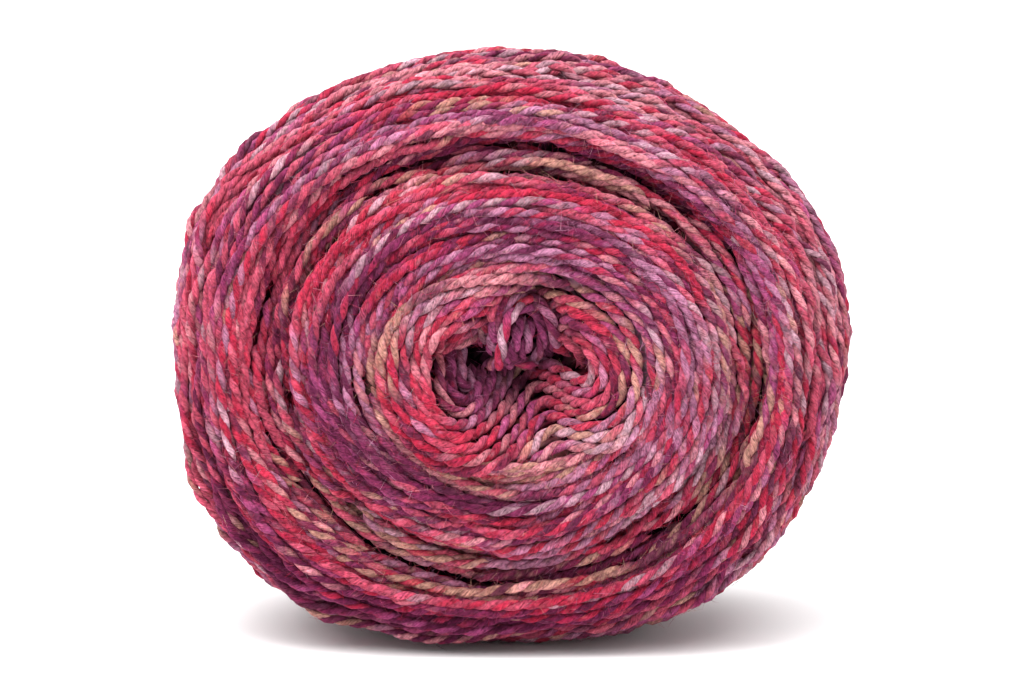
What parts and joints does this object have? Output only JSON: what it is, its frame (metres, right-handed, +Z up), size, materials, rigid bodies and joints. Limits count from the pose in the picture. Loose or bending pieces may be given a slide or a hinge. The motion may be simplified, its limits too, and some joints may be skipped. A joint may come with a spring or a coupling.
{
  "type": "yarn cake",
  "caption": "Squat wound cake of marled plied yarn standing on its rim, with a domed end, a valley inside the outer wrap, a sunken core and a loose inner end.",
  "frame": {"origin": "middle of the base of the wound body's bounding box, on the small flat spot it rests on", "axes": "+Z up; -Y out of the end that shows, along the winding's axis; +X to the right seen from the front"},
  "size_m": [0.1328, 0.096, 0.1144],
  "materials": {
    "wound_yarn": "soft two-ply wool yarn, marled crimson, rose, lilac, plum and tan",
    "inner_end": "the same two-ply wool yarn"
  },
  "bodies": {
    "root": {"wound_yarn": "wound_yarn", "inner_end": "inner_end"}
  },
  "joints": []
}
